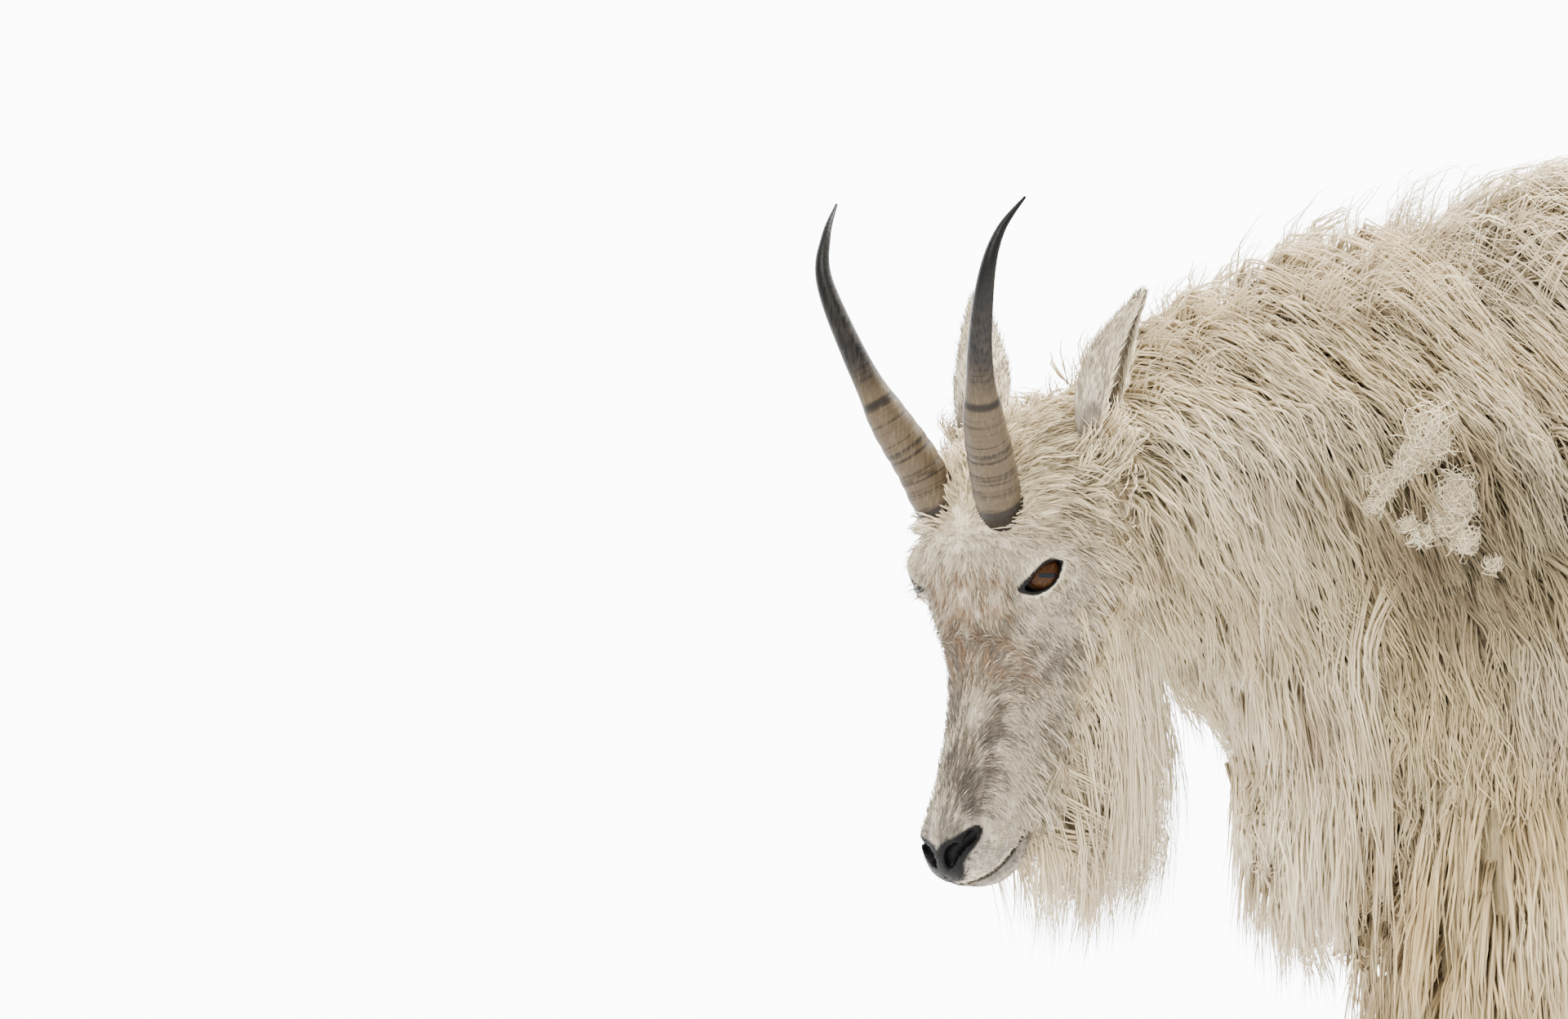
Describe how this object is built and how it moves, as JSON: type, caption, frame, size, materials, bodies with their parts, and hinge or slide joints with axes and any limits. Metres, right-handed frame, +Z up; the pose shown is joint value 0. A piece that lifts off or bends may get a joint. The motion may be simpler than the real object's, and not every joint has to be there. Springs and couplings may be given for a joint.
{
  "type": "mountain goat",
  "caption": "Life-size mountain goat with a long pale coat, beard, humped shoulders and dark curved horns, standing with its head lowered and turned.",
  "frame": {"origin": "on the floor, under the middle of the animal's bounding box", "axes": "the goat faces -X, its left side is at -Y, +Z is up and its soles are at z = 0"},
  "size_m": [1.4022, 0.437, 0.9897],
  "materials": {
    "coat": "long, dull, cream-white hair",
    "face_coat": "short, dull, pale grey-beige hair",
    "ear_coat": "short, dull, grey-beige hair",
    "horn": "satin black horn, browner and ringed near the base",
    "hoof": "dull dark horn",
    "eye": "wet, clear over a brown iris"
  },
  "bodies": {
    "root": {"dewclaw_fore_left_inner": "hoof", "dewclaw_fore_left_outer": "hoof", "dewclaw_fore_right_inner": "hoof", "dewclaw_fore_right_outer": "hoof", "dewclaw_hind_left_inner": "hoof", "dewclaw_hind_left_outer": "hoof", "dewclaw_hind_right_inner": "hoof", "dewclaw_hind_right_outer": "hoof", "ear_left": "ear_coat", "ear_right": "ear_coat", "eye_left": "eye", "eye_right": "eye", "head": "face_coat", "hoof_fore_left_inner": "hoof", "hoof_fore_left_outer": "hoof", "hoof_fore_right_inner": "hoof", "hoof_fore_right_outer": "hoof", "hoof_hind_left_inner": "hoof", "hoof_hind_left_outer": "hoof", "hoof_hind_right_inner": "hoof", "hoof_hind_right_outer": "hoof", "horn_left": "horn", "horn_right": "horn", "leg_fore_left_lower": "coat", "leg_fore_left_upper": "coat", "leg_fore_right_lower": "coat", "leg_fore_right_upper": "coat", "leg_hind_left_lower": "coat", "leg_hind_left_upper": "coat", "leg_hind_right_lower": "coat", "leg_hind_right_upper": "coat", "neck": "coat", "tail": "coat", "torso": "coat"}
  },
  "joints": []
}
